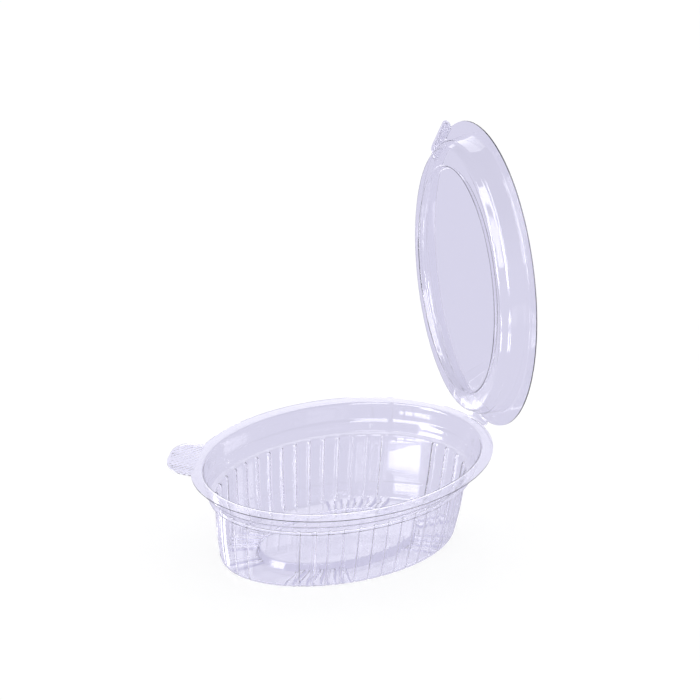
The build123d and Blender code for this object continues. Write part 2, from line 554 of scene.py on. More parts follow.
@dataclass(frozen=True)
class Section:
    """A section made of knots, with its corners rounded.

    Attributes:
        knots: The corners, from the middle of the form to its edge.
        step: The longest run between two rings.
        bend_steps: Rings in each rounded corner.
        bend_share: How much of the run to the next knot a rounded corner may take.
    """

    knots: tuple[Knot, ...]
    step: float = 2.2
    bend_steps: int = 3
    bend_share: float = 0.48

    def rings(self) -> np.ndarray:
        """Works out every ring of the form.

        Returns:
            One row for each ring: half length, half width, height, fluting, the beads' painted
            shade and the ring's painted shade.
        """
        rows: list[np.ndarray] = [self.knots[0].values()]
        for i in range(1, len(self.knots)):
            here = self.knots[i].values()
            before = self.knots[i - 1].values()
            back = np.linalg.norm((here - before)[[0, 2]])
            reach = min(self.knots[i].rounding, self.bend_share * back)
            if i + 1 < len(self.knots):
                after = self.knots[i + 1].values()
                ahead = np.linalg.norm((after - here)[[0, 2]])
                reach = min(reach, self.bend_share * ahead)
            start = here + (before - here) * reach / back
            run = np.linalg.norm((start - rows[-1])[[0, 2]])
            steps = max(1, math.ceil(run / (self.knots[i].step or self.step)))
            rows += [rows[-1] + (start - rows[-1]) * (k / steps) for k in range(1, steps + 1)]
            if reach > 0:
                end = here + (after - here) * reach / ahead
                for k in range(1, self.bend_steps + 1):
                    t = k / self.bend_steps
                    rows.append((1 - t) ** 2 * start + 2 * t * (1 - t) * here + t * t * end)
        return np.array(rows)


@dataclass(frozen=True)
class FingerTab:
    """A knurled tab at the flange.

    Attributes:
        angle: Where it leaves the oval, in degrees.
        width: Its width.
        reach: How far it stands out from the flange edge.
        corner: Radius of its corners.
        start: How far out the knurl begins, which is below 0 where it reaches the flange.
        border: Width of the smooth border round the knurl.
        fade: Over what width the knurl sets in.
        rows: Rows of points from the flange to the tip.
        stations_across: Steps across the tab.
        search: How far to each side the tab's ends are looked for, in degrees.
        search_points: At how many places they are looked for.
    """

    angle: float
    width: float = 16.0
    reach: float = 7.1
    corner: float = 6.4
    start: float = -1.4
    border: float = 0.4
    fade: float = 0.3
    rows: int = 34
    stations_across: int = 54
    search: float = 25.0
    search_points: int = 4001

    def place(self, rim: OvalRim, points: np.ndarray) -> tuple[np.ndarray, np.ndarray]:
        """Places points in the tab's own frame.

        Args:
            rim: The oval that the tab stands on.
            points: Points, one in each row.

        Returns:
            How far out and how far across each point lies.
        """
        x0, y0 = rim.point(0.0, self.angle)
        turn = math.radians(rim.heading(self.angle))
        x, y = points[:, 0] - x0, points[:, 1] - y0
        return x * math.cos(turn) + y * math.sin(turn), y * math.cos(turn) - x * math.sin(turn)

    def local(self, rim: OvalRim, angles: np.ndarray) -> tuple[np.ndarray, np.ndarray]:
        """Places flange edge points in the tab's own frame.

        Args:
            rim: The oval that the tab stands on.
            angles: The points' angles round the oval, in degrees.

        Returns:
            How far out and how far across each point lies.
        """
        turn = np.radians(angles)
        edge = np.c_[rim.half_length * np.cos(turn), rim.half_width * np.sin(turn)]
        return self.place(rim, edge)

    def edge(self, across: np.ndarray) -> np.ndarray:
        """Gives how far out the tab's edge lies at each distance across it."""
        past = np.clip(np.abs(across) - (self.width / 2 - self.corner), 0.0, self.corner)
        return self.reach - self.corner + np.sqrt(self.corner**2 - past**2)

    def knurling(self, out: np.ndarray, across: np.ndarray) -> np.ndarray:
        """Works out how strongly the knurl shows at each point.

        Args:
            out: How far out each point lies.
            across: How far across each point lies.

        Returns:
            Strengths from 0 to 1.
        """
        ahead = np.minimum(out - self.start, self.edge(across) - out - self.border)
        aside = self.width / 2 - np.abs(across) - self.border
        return np.clip(np.minimum(ahead, aside) / self.fade, 0.0, 1.0)

    def stations(self, rim: OvalRim) -> np.ndarray:
        """Gives the angles of the points where the tab leaves the flange.

        Args:
            rim: The oval that the tab stands on.

        Returns:
            Angles in degrees, in rising order.
        """
        first, last = self.angle - self.search, self.angle + self.search
        fine = np.linspace(first, last, self.search_points)
        across = self.local(rim, fine)[1]
        turn = np.linspace(-math.pi / 2, math.pi / 2, self.stations_across + 1)
        return np.interp(self.width / 2 * np.sin(turn), across, fine)


@dataclass
class RingForm:
    """A sheet of closed rings, with a finger tab at its outer edge.

    Attributes:
        rim: The oval of the flange.
        section: The section from the middle to the edge.
        tab: The finger tab.
        angles: The columns' angles round the oval, in degrees.
        flute: How near each column is to a ridge, from 0 in a flute to 1 on the ridge.
        bead: How far each column lies from the nearest bead's line, in millimetres.
    """

    rim: OvalRim
    section: Section
    tab: FingerTab
    angles: np.ndarray
    flute: np.ndarray
    bead: np.ndarray

    def mesh(self, name: str) -> bpy.types.Mesh:
        """Builds the outside skin, with the attributes that the relief tree reads.

        Args:
            name: The mesh's name.

        Returns:
            The mesh, in metres.
        """
        rings = self.section.rings()
        turn = np.radians(self.angles)
        columns = len(turn)
        spots = [np.array([[0.0, 0.0, rings[0, 2]]])]
        for length, width, level in rings[1:, :3]:
            ring = (length * np.cos(turn), width * np.sin(turn), np.full(columns, level))
            spots.append(np.column_stack(ring))
        faces = self._faces(len(rings) - 1, columns)
        edge_start = 1 + (len(rings) - 2) * columns
        tab_spots, tab_faces = self._tab(edge_start, rings[-1, 2])
        points = np.vstack(spots + [tab_spots])
        along, across = self.tab.place(self.rim, points)
        extra = np.zeros(len(tab_spots))

        def by_column(values: np.ndarray) -> np.ndarray:
            """Gives every ring the columns' values, and 0 to the middle."""
            return np.concatenate([np.zeros(1), np.tile(values, len(rings) - 1)])

        def by_ring(row: int) -> np.ndarray:
            """Gives every point its ring's value, and 0 to the tab."""
            values = np.append(rings[:1, row], np.repeat(rings[1:, row], columns))
            return np.append(values, extra)

        mesh = bpy.data.meshes.new(name)
        mesh.from_pydata((points * MM).tolist(), [], faces + tab_faces)
        layers = {
            "turn": np.append(by_column(turn), extra),
            "flute": np.append(by_column(self.flute), extra),
            "fluting": by_ring(3),
            "beading": by_ring(4),
            "shade": by_ring(5),
            "bead": np.append(by_column(self.bead), extra + FAR) * MM,
            "knurl_along": along * MM,
            "knurl_across": across * MM,
            "knurling": self.tab.knurling(along, across),
        }
        for title, values in layers.items():
            layer = mesh.attributes.new(title, "FLOAT", "POINT")
            layer.data.foreach_set("value", values.astype(np.float32))
        mesh.update()
        return mesh

    @staticmethod
    def _faces(rows: int, columns: int) -> list[Face]:
        """Joins the rings.

        Args:
            rows: How many rings there are.
            columns: How many points each ring has.

        Returns:
            Faces that look outwards, as point numbers.
        """
        faces: list[Face] = [(0, 1 + (j + 1) % columns, 1 + j) for j in range(columns)]
        for i in range(rows - 1):
            low, high = 1 + i * columns, 1 + (i + 1) * columns
            for j in range(columns):
                k = (j + 1) % columns
                faces.append((low + j, low + k, high + k, high + j))
        return faces

    def _tab(self, edge_start: int, level: float) -> tuple[np.ndarray, list[Face]]:
        """Builds the finger tab from the flange edge outwards.

        Args:
            edge_start: Number of the flange edge's first point.
            level: Height of the tab's underside.

        Returns:
            Points and faces.
        """
        tab = self.tab
        stations = tab.stations(self.rim)
        slack = 1e-6
        first, last = stations[0] - slack, stations[-1] + slack
        picked = np.nonzero((self.angles >= first) & (self.angles <= last))[0]
        near, across = tab.local(self.rim, self.angles[picked])
        across = np.clip(across, -tab.width / 2, tab.width / 2)
        far = tab.edge(across)
        x0, y0 = self.rim.point(0.0, tab.angle)
        heading = math.radians(self.rim.heading(tab.angle))
        spots, faces = [], []
        below = edge_start + picked
        base = edge_start + len(self.angles)
        for k in range(1, tab.rows + 1):
            out = near + (far - near) * k / tab.rows
            x = x0 + out * math.cos(heading) - across * math.sin(heading)
            y = y0 + out * math.sin(heading) + across * math.cos(heading)
            spots.append(np.c_[x, y, np.full(len(x), level)])
            here = base + (k - 1) * len(picked) + np.arange(len(picked))
            faces += [
                (int(below[j]), int(below[j + 1]), int(here[j + 1]), int(here[j]))
                for j in range(len(picked) - 1)
            ]
            below = here
        return np.vstack(spots), faces


@dataclass(frozen=True)
class ReliefSizes:
    """The sizes that the relief tree gets.

    Attributes:
        ridge_depth: How far a ridge with no round top would stand in.
        ridge_foot: Where between a flute's middle and its ridge the ridge begins.
        ridge_rounding: Where between its foot and its middle the ridge's round top begins.
        bead_height: Height of the beads.
        bead_foot: Half width of a bead at its foot.
        bead_crest: Half width of a bead at its top.
        knurl_pitch: Distance between crossing lines, measured along the tab.
        knurl_depth: Height of the lines.
        knurl_shade: How strongly shade is painted along the lines, from 0 to 1.
    """

    ridge_depth: float = 1.0
    ridge_foot: float = 0.68
    ridge_rounding: float = 0.62
    bead_height: float = 0.65
    bead_foot: float = 1.2
    bead_crest: float = 0.45
    knurl_pitch: float = 1.5
    knurl_depth: float = 0.12
    knurl_shade: float = 0.4

    def inputs(self) -> dict[str, float]:
        """Gives the tree's inputs.

        Returns:
            Each input's value by its name, in metres where it is a length.
        """
        return {
            "Ridge Depth": self.ridge_depth * MM,
            "Ridge Foot": self.ridge_foot,
            "Ridge Rounding": self.ridge_rounding,
            "Bead Height": self.bead_height * MM,
            "Bead Foot": self.bead_foot * MM,
            "Bead Crest": self.bead_crest * MM,
            "Knurl Pitch": self.knurl_pitch * MM,
            "Knurl Depth": self.knurl_depth * MM,
            "Knurl Shade": self.knurl_shade,
        }


@dataclass
class SheetPress:
    """Turns an outside skin into a finished sheet.

    Attributes:
        relief: The relief tree's writer.
        tree: The relief tree.
        finish: The material.
        sizes: The relief's sizes.
        thickness: Thickness of the sheet.
    """

    relief: PressedRelief
    tree: bpy.types.NodeTree
    finish: bpy.types.Material
    sizes: ReliefSizes
    thickness: float

    def press(self, skin: bpy.types.Mesh, name: str,
              place: Matrix | None = None) -> bpy.types.Object:
        """Presses the relief, gives the sheet its thickness and makes a plain mesh of it.

        Args:
            skin: The outside skin.
            name: The piece's name.
            place: Where the piece goes, if it isn't built in place.

        Returns:
            The finished piece, at the origin.
        """
        blank = bpy.data.objects.new(name + "_blank", skin)
        bpy.context.collection.objects.link(blank)
        relief = blank.modifiers.new("relief", "NODES")
        relief.node_group = self.tree
        for title, value in self.sizes.inputs().items():
            relief[self.relief.inputs[title]] = value
        relief[self.relief.inputs["Finish"]] = self.finish
        wall = blank.modifiers.new("wall", "SOLIDIFY")
        wall.thickness = self.thickness * MM
        wall.offset = -1.0
        wall.use_even_offset = True
        wall.use_quality_normals = True
        graph = bpy.context.evaluated_depsgraph_get()
        mesh = bpy.data.meshes.new_from_object(blank.evaluated_get(graph), depsgraph=graph)
        bpy.data.objects.remove(blank)
        for layer in [a.name for a in mesh.attributes if a.name in LAYERS]:
            mesh.attributes.remove(mesh.attributes[layer])
        if place is not None:
            mesh.transform(place)
        mesh.shade_smooth()
        mesh.set_sharp_from_angle(angle=math.radians(CREASE_ANGLE))
        mesh.name = name
        piece = bpy.data.objects.new(name, mesh)
        bpy.context.collection.objects.link(piece)
        return piece


# ---------------------------------------------------------------- the hinge


@dataclass(frozen=True)
class Hinge:
    """The fold that the lid turns about.

    Attributes:
        rim: The oval that cup and lid share.
        cup_height: From the table to the flange's inner edge.
        clearance: Between the two flanges when the lid is closed.
        angle: Where the strap leaves the oval.
        offset: From the flange edge to the fold line.
        heading: Direction of the strap away from the cup.
        skew: How far the fold line dips.
        width: Width of the strap.
        opening: How far the lid stands open.
    """

    rim: OvalRim = OvalRim()
    cup_height: float = 30.2
    clearance: float = 0.2
    angle: float = 11.5
    offset: float = 1.2
    heading: float = 10.6
    skew: float = 4.5
    width: float = 6.8
    opening: float = 90.5

    def outward(self) -> Vector:
        """Gives the direction of the strap away from the cup."""
        turn = math.radians(self.heading)
        return Vector((math.cos(turn), math.sin(turn), 0.0))

    def line(self) -> Vector:
        """Gives the direction of the fold line."""
        across = Vector((-self.outward().y, self.outward().x, 0.0))
        return Matrix.Rotation(math.radians(-self.skew), 3, self.outward()) @ across

    def point(self) -> Vector:
        """Works out a point of the fold line.

        Returns:
            The point in the middle of the strap, in millimetres.
        """
        x, y = self.rim.point(0.0, self.angle)
        level = self.cup_height - self.rim.droop + self.clearance / 2
        return Vector((x, y, level)) + self.outward() * self.offset

    def turn(self, scale: float) -> Matrix:
        """Gives the lid's turn from closed to open.

        Args:
            scale: Size of a millimetre in the mesh that is turned.

        Returns:
            The turn as a matrix.
        """
        move = Matrix.Translation(self.point() * scale)
        swing = Matrix.Rotation(math.radians(self.opening), 4, self.line())
        return move @ swing @ move.inverted()


# ---------------------------------------------------------------- cup


@dataclass
class Cup:
    """The cup: a fluted wall below a smooth seat, on an oval foot with a raised floor.

    Lengths are in millimetres and angles in degrees.

    Attributes:
        rim: The oval that cup and lid share.
        height: From the table to the flange's inner edge.
        crease_drop: From there down to the crease that the plug snaps behind.
        crease_height: Height of the crease.
        crease_step: How far the crease steps in.
        band_draft: How far the smooth band leans in above and below the crease.
        seat_depth: From the flange down to the ledge.
        ledge_width: Width of the ledge.
        wall_draft: How far the fluted wall leans in.
        wall_bow: How far it bows out halfway.
        flute_pitch: Distance between two ridges.
        window_start: Where a smooth window in the flutes begins. The other lies opposite.
        window_end: Where it ends.
        corner_radius: Radius of the corner at the base.
        floor_rise: Height of the raised floor.
        floor_slope: Width of the slope round it.
        floor_band: Over what width the slope's shade fades, inside and outside it.
        foot_width: From the raised floor to the foot's outer edge, at the oval's ends.
        foot_border: Width of the foot's outermost strip, one step of rings wide.
        floor_half_width: Half width of the raised floor.
        knurl_inset: How far in the last ring before the knurl lies.
        bead_spots: Where columns stand beside a bead's line.
        bead_spans: First and last angle and number of each group of beads.
        tab: The finger tab.
        column_spots: Where columns stand beside a ridge, in half flutes.
        column_step: The step between columns further off, in half flutes.
        column_gap: How near such a column may come to one of the tab or a bead.
        arc_points: At how many places the oval is measured to space the ridges.
    """

    rim: OvalRim = OvalRim()
    height: float = 30.2
    crease_drop: float = 5.4
    crease_height: float = 0.5
    crease_step: float = 0.6
    band_draft: float = 0.75
    seat_depth: float = 9.1
    ledge_width: float = 1.8
    wall_draft: float = 2.1
    wall_bow: float = 0.35
    flute_pitch: float = 4.4
    window_start: float = 27.2
    window_end: float = 56.5
    corner_radius: float = 1.4
    floor_rise: float = 2.4
    floor_slope: float = 0.7
    floor_band: tuple[float, float] = (0.5, 0.4)
    foot_width: float = 10.4
    foot_border: float = 1.6
    floor_half_width: float = 12.2
    knurl_inset: float = 1.8
    bead_spots: tuple[float, ...] = (-1.2, -0.8, -0.45, 0.45, 0.8, 1.2)
    bead_spans: tuple[tuple[float, float, int], ...] = (
        (52.0, 81.0, 5), (135.0, 158.0, 4), (180.0, 189.0, 2),
    )
    tab: FingerTab = FingerTab(angle=155.2)
    column_spots: tuple[float, ...] = (0.0, 0.06, 0.12, 0.2, 0.32, 0.6)
    column_step: float = 0.6
    column_gap: float = 0.12
    arc_points: int = 1001

    @property
    def crease_inset(self) -> float:
        """How far in the wall lies at the crease's top."""
        return self.rim.flange + self.band_draft

    @property
    def ledge_inset(self) -> float:
        """How far in the wall lies at the ledge's outer edge."""
        return self.crease_inset + self.crease_step + self.band_draft

    @property
    def flute_inset(self) -> float:
        """How far in the flutes lie below the ledge."""
        return self.ledge_inset + self.ledge_width

    @property
    def corner_inset(self) -> float:
        """How far in the wall lies at the base's corner."""
        return self.flute_inset + self.wall_draft

    def ridges(self) -> list[float]:
        """Works out the angles of the ridges between flutes.

        Returns:
            Angles in rising order, round the whole oval.
        """
        start, end = self.window_end, self.window_start + 180.0
        angles = np.linspace(start, end, self.arc_points)
        points = np.array([self.rim.point(self.flute_inset, angle) for angle in angles])
        steps = np.linalg.norm(np.diff(points, axis=0), axis=1)
        run = np.concatenate([[0.0], np.cumsum(steps)])
        count = round(run[-1] / self.flute_pitch)
        half = [float(np.interp(run[-1] * i / count, run, angles)) for i in range(count + 1)]
        return half + [angle + 180.0 for angle in half]

    def columns(self) -> tuple[np.ndarray, np.ndarray]:
        """Works out the columns of the cup's rings, close together at the ridges.

        Returns:
            Angles in rising order, and how near each is to a ridge.
        """
        ridges = np.array(self.ridges())
        ends = np.append(ridges[1:], ridges[0] + 360.0)
        spots: list[float] = []
        for start, end in zip(ridges, ends):
            halves = self._flutes_wide(start, end) * 2.0
            near = [spot / halves for spot in self.column_spots]
            middle = list(np.arange(near[-1], 0.5, self.column_step / halves)[1:])
            side = near + middle
            spots += [start + (end - start) * t for t in side]
            # The ridge and the middle of the flute already have their columns.
            spots += [end - (end - start) * t for t in side if 0.0 < t < 0.499]
        marks = np.unique(np.round(np.mod(np.array(spots), 360.0), 5))
        edges = [
            (bead + spot / self.bead_speed(bead)) % 360.0
            for bead in self.beads() for spot in self.bead_spots
        ]
        fixed = np.concatenate([self.tab.stations(self.rim), edges])
        keep = [a for a in marks if np.abs(fixed - a).min() > self.column_gap]
        angles = np.unique(np.append(keep, fixed))
        place = np.where(angles < ridges[0], angles + 360.0, angles)
        index = np.searchsorted(ridges, place, side="right") - 1
        first, last = ridges[index], ends[index]
        wide = np.array([self._flutes_wide(a, b) for a, b in zip(first, last)])
        away = np.minimum(place - first, last - place) / (last - first) * 2.0 * wide
        return angles, np.clip(1.0 - away, 0.0, 1.0)

    def _flutes_wide(self, start: float, end: float) -> float:
        """Measures how many flutes wide the stretch between two ridges is.

        Args:
            start: Angle of the one ridge, in degrees.
            end: Angle of the other.

        Returns:
            The number of flutes, not under 1.
        """
        inset = self.flute_inset
        chord = math.dist(self.rim.point(inset, start), self.rim.point(inset, end))
        return max(1.0, chord / self.flute_pitch)

    def section(self) -> Section:
        """Works out the cup's section.

        Returns:
            The section, from the middle of the floor to the flange edge.
        """
        long, wide = self.rim.half_length, self.rim.half_width
        rise = self.height - self.rim.sheet
        ledge = self.height - self.seat_depth
        crease = self.height - self.crease_drop
        foot = self.corner_inset + self.corner_radius
        floor_long = long - foot - self.foot_width
        floor_wide = self.floor_half_width
        corner = self.corner_radius * 0.3
        halfway = (self.corner_inset + self.flute_inset) / 2
        below_crease = self.crease_inset + self.crease_step
        before, after = self.floor_band

        def inset(value: float, level: float, rounding: float = 0.0, **more: float) -> Knot:
            """Gives the knot that lies inset from the flange edge."""
            return Knot(long - value, wide - value, level, rounding, **more)

        def floor(grow: float, level: float, rounding: float = 0.0, **more: float) -> Knot:
            """Gives the knot that lies outside the raised floor's edge."""
            return Knot(floor_long + grow, floor_wide + grow, level, rounding, **more)

        return Section((
            Knot(0.0, 0.0, self.floor_rise),
            Knot(floor_long * 0.5, floor_wide * 0.5, self.floor_rise),
            # Painted shade: a darker band on the slope round the floor, and on the beads' sides.
            floor(-before, self.floor_rise),
            floor(0.0, self.floor_rise, rounding=0.35, shade=0.5),
            floor(self.floor_slope, 0.0, rounding=0.35, beading=1.0, shade=0.5),
            floor(self.floor_slope + after, 0.0, beading=1.0),
            inset(foot + self.foot_border, 0.0, rounding=0.2, step=1.6, beading=1.0),
            inset(foot, 0.0, rounding=0.5, beading=1.0),
            inset(self.corner_inset + corner, corner, rounding=0.5, fluting=0.5),
            inset(self.corner_inset, self.corner_radius, rounding=0.5, fluting=1.0),
            inset(halfway - self.wall_bow, ledge / 2, rounding=5.0, fluting=1.0),
            inset(self.flute_inset, ledge, rounding=0.45, fluting=1.0),
            inset(self.flute_inset - self.ledge_width / 2, ledge, rounding=0.1),
            inset(self.ledge_inset, ledge, rounding=0.5),
            inset(below_crease, crease - self.crease_height, rounding=0.45),
            inset(self.crease_inset, crease, rounding=0.45),
            inset(self.rim.flange, rise, rounding=0.5),
            inset(self.knurl_inset, rise - self.rim.drop(self.knurl_inset)),
            inset(0.0, rise - self.rim.droop, step=0.3),
        ))

    def beads(self) -> list[float]:
        """Works out where the beads lie round the floor.

        Returns:
            Their angles, in degrees.
        """
        found = []
        for first, last, count in self.bead_spans:
            group = np.linspace(first, last, count)
            found += [float(angle) + half for half in (0.0, 180.0) for angle in group]
        return found

    def bead_speed(self, angle: float) -> float:
        """Measures how long a degree is in the middle of the foot ring.

        Args:
            angle: The angle round the oval, in degrees.

        Returns:
            Millimetres for each degree.
        """
        turn = math.radians(angle)
        middle = self.corner_inset + self.corner_radius + self.foot_width / 2
        along = (self.rim.half_length - middle) * math.sin(turn)
        aside = (self.rim.half_width - middle) * math.cos(turn)
        return math.radians(math.hypot(along, aside))

    def bead_distance(self, angles: np.ndarray) -> np.ndarray:
        """Measures how far columns lie from the nearest bead's line.

        Args:
            angles: The columns' angles, in degrees.

        Returns:
            Distances in the middle of the foot ring, in millimetres.
        """
        nearest = np.full(len(angles), FAR)
        for bead in self.beads():
            away = np.abs((angles - bead + 180.0) % 360.0 - 180.0)
            nearest = np.minimum(nearest, away * self.bead_speed(bead))
        return nearest

    def build(self, press: SheetPress) -> bpy.types.Object:
        """Builds the cup.

        Args:
            press: Makes the sheet.

        Returns:
            The cup, riding on its body.
        """
        angles, flute = self.columns()
        bead = self.bead_distance(angles)
        form = RingForm(self.rim, self.section(), self.tab, angles, flute, bead)
        piece = press.press(form.mesh("cup_skin"), "cup_sheet")
        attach(piece, "cup")
        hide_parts("cup")
        return piece


# ---------------------------------------------------------------- lid


@dataclass
class Lid:
    """The lid: a flange with a plug that hangs in the cup's mouth, with a raised panel.

    Lengths are in millimetres and angles in degrees.

    Attributes:
        cup: The cup that it closes.
        hinge: The fold that it turns about.
        plug_clearance: Between the plug's wall and the cup's.
        plug_gap: Between the plug's bottom and the cup's ledge.
        chamfer: Width of the chamfer round the plug's bottom.
        panel_rise: How far the panel stands up from the plug's bottom.
        panel_slope: Width of the slope round the panel.
        end_ring: Width of the ring round the panel at the oval's ends.
        side_ring: Its width at the sides.
        ring_rise: How far the ring rises towards its outer edge.
        knurl_inset: How far in the last ring before the knurl lies.
        tab: The finger tab.
        column_count: Columns round the oval, beside those of the tab.
        column_gap: How near such a column may come to one of the tab.
    """

    cup: Cup
    hinge: Hinge
    plug_clearance: float = 0.3
    plug_gap: float = 0.25
    chamfer: float = 0.5
    panel_rise: float = 1.5
    panel_slope: float = 0.5
    end_ring: float = 5.5
    side_ring: float = 3.1
    ring_rise: float = 0.35
    knurl_inset: float = 1.6
    tab: FingerTab = FingerTab(angle=143.0, reach=2.7, corner=2.6, start=-1.3, rows=12)
    column_count: int = 300
    column_gap: float = 0.15

    def section(self) -> Section:
        """Works out the closed lid's section.

        Returns:
            The section, from the middle of the panel to the flange edge.
        """
        cup = self.cup
        rim = cup.rim
        gap = rim.sheet + self.plug_clearance
        plug = cup.ledge_inset + gap
        bottom = cup.height - cup.seat_depth + rim.sheet + self.plug_gap
        panel = bottom + self.panel_rise
        ring = bottom + self.ring_rise
        crease = cup.height - cup.crease_drop
        rise = cup.height + self.hinge.clearance
        long = rim.half_length - cup.ledge_inset - gap - self.end_ring
        wide = rim.half_width - cup.ledge_inset - gap - self.side_ring
        slope = self.panel_slope
        below_crease = cup.crease_inset + cup.crease_step

        def inset(value: float, level: float, rounding: float = 0.0, **more: float) -> Knot:
            """Gives the knot that lies inset from the flange edge."""
            length, width = rim.half_length - value, rim.half_width - value
            return Knot(length, width, level, rounding, **more)

        return Section((
            Knot(0.0, 0.0, panel),
            Knot(long * 0.5, wide * 0.5, panel),
            Knot(long - slope, wide - slope, panel, rounding=0.5),
            Knot(long, wide, bottom, rounding=0.5),
            inset(plug + self.chamfer, ring, rounding=0.5),
            inset(plug, ring + self.chamfer, rounding=0.35),
            inset(below_crease + gap, crease - cup.crease_height, rounding=0.3),
            inset(cup.crease_inset + gap, crease, rounding=0.3),
            inset(rim.flange + gap, rise, rounding=0.6),
            inset(rim.flange, rise, rounding=0.3),
            inset(self.knurl_inset, rise - rim.drop(self.knurl_inset)),
            inset(0.0, rise - rim.droop, step=0.25),
        ))

    def build(self, press: SheetPress) -> bpy.types.Object:
        """Builds the lid and turns it open.

        Args:
            press: Makes the sheet.

        Returns:
            The lid, riding on its body.
        """
        tab = self.tab.stations(self.cup.rim)
        marks = np.arange(self.column_count) * 360.0 / self.column_count
        keep = [a for a in marks if np.abs(tab - a).min() > self.column_gap]
        angles = np.sort(np.append(keep, tab))
        blank = np.zeros(len(angles))
        form = RingForm(self.cup.rim, self.section(), self.tab, angles, blank, blank + FAR)
        piece = press.press(form.mesh("lid_skin"), "lid_sheet", self.hinge.turn(MM))
        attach(piece, "lid")
        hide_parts("lid")
        return piece


# ---------------------------------------------------------------- strap


@dataclass
class Strap:
    """The bent strap between the two flanges.

    Attributes:
        hinge: The fold.
        finish: The material.
        columns: Steps across the strap.
        arc_steps: Steps round the bend.
        run_steps: Steps of each straight run.
        gap: Clearance to the flange edges.
        blend_reach: How far past the bend's ends the two bodies' shares reach.
        search: How far to each side of its root the flange edge is followed, in degrees.
        search_points: At how many places it is followed.
    """

    hinge: Hinge
    finish: bpy.types.Material
    columns: int = 16
    arc_steps: int = 10
    run_steps: int = 4
    gap: float = 0.01
    blend_reach: float = 0.05
    search: float = 15.0
    search_points: int = 1201

    @property
    def radius(self) -> float:
        """Radius of the bend's outer side."""
        return self.hinge.clearance / 2 + self.hinge.rim.sheet

    def _across(self) -> list[tuple[float, float]]:
        """Works out where the flange edge lies across the strap.

        Returns:
            How far out from the strap's root and how far across each point lies.
        """
        rim, hinge = self.hinge.rim, self.hinge
        x0, y0 = rim.point(0.0, hinge.angle)
        ahead = hinge.outward()
        first, last = hinge.angle - self.search, hinge.angle + self.search
        fine = np.linspace(first, last, self.search_points)
        x = rim.half_length * np.cos(np.radians(fine)) - x0
        y = rim.half_width * np.sin(np.radians(fine)) - y0
        out = x * ahead.x + y * ahead.y
        across = y * ahead.x - x * ahead.y
        wanted = np.linspace(-hinge.width / 2, hinge.width / 2, self.columns + 1)
        return [(float(np.interp(w, across, out)), float(w)) for w in wanted]

    def _arc(self, across: float) -> list[Vector]:
        """Works out a line of points round the bend.

        Args:
            across: How far across the strap the line lies.

        Returns:
            The points from the cup's side to the lid's, in millimetres.
        """
        ahead, line = self.hinge.outward(), self.hinge.line()
        up = ahead.cross(line)
        middle = self.hinge.point() + line * across
        points = []
        for k in range(self.arc_steps + 1):
            bend = math.radians(self.hinge.opening) * k / self.arc_steps
            out, down = self.radius * math.sin(bend), self.radius * math.cos(bend)
            points.append(middle + ahead * out - up * down)
        return points

    def _rows(self) -> list[list[Vector]]:
        """Works out the strap's outer side, from the cup's flange to the lid's.

        Returns:
            One row of points across the strap for each step along it, in metres.
        """
        hinge = self.hinge
        rim = hinge.rim
        ahead = hinge.outward()
        side = Vector((-ahead.y, ahead.x, 0.0))
        root = Vector((*rim.point(0.0, hinge.angle), 0.0))
        low = hinge.cup_height - rim.droop - rim.sheet
        high = hinge.cup_height + hinge.clearance + rim.sheet - rim.droop
        turn = hinge.turn(1.0)
        paths = []
        for out, across in self._across():
            foot = root + ahead * (out + self.gap) + side * across
            start = Vector((foot.x, foot.y, low))
            end = turn @ Vector((foot.x, foot.y, high))
            arc = self._arc(across)
            shares = [k / self.run_steps for k in range(self.run_steps + 1)]
            path = [start.lerp(arc[0], share) for share in shares[:-1]]
            path += arc
            path += [arc[-1].lerp(end, share) for share in shares[1:]]
            paths.append([point * MM for point in path])
        return [list(row) for row in zip(*paths)]

    def _skin(self) -> bpy.types.Mesh:
        """Makes a mesh of the strap's outer side.

        Returns:
            The mesh, in metres.
        """
        form = bmesh.new()
        grid = [[form.verts.new(point) for point in row] for row in self._rows()]
        for here, after in zip(grid, grid[1:]):
            for j in range(self.columns):
                form.faces.new((here[j], after[j], after[j + 1], here[j + 1]))
        form.normal_update()
        mesh = bpy.data.meshes.new("strap_skin")
        form.to_mesh(mesh)
        form.free()
        return mesh

    def build(self) -> bpy.types.Object:
        """Builds the strap, bent between the cup and the open lid.

        Returns:
            The strap, blended between the two bodies.
        """
        hinge = self.hinge
        blank = bpy.data.objects.new("strap_blank", self._skin())
        bpy.context.collection.objects.link(blank)
        wall = blank.modifiers.new("wall", "SOLIDIFY")
        wall.thickness = hinge.rim.sheet * MM
        wall.offset = -1.0
        graph = bpy.context.evaluated_depsgraph_get()
        solid = bpy.data.meshes.new_from_object(blank.evaluated_get(graph), depsgraph=graph)
        bpy.data.objects.remove(blank)
        solid.name = "strap"
        solid.materials.clear()
        solid.materials.append(self.finish)
        solid.shade_smooth()
        solid.set_sharp_from_angle(angle=math.radians(CREASE_ANGLE))
        piece = bpy.data.objects.new("strap", solid)
        bpy.context.collection.objects.link(piece)

        fold, ahead = hinge.point(), hinge.outward()
        up = ahead.cross(hinge.line())
        begin = (fold - up * self.radius - ahead * self.blend_reach) * MM
        finish = (fold + ahead * self.radius + up * self.blend_reach) * MM
        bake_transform(piece, "cup", "lid", start=tuple(begin), end=tuple(finish))
        return piece


# ---------------------------------------------------------------- studio


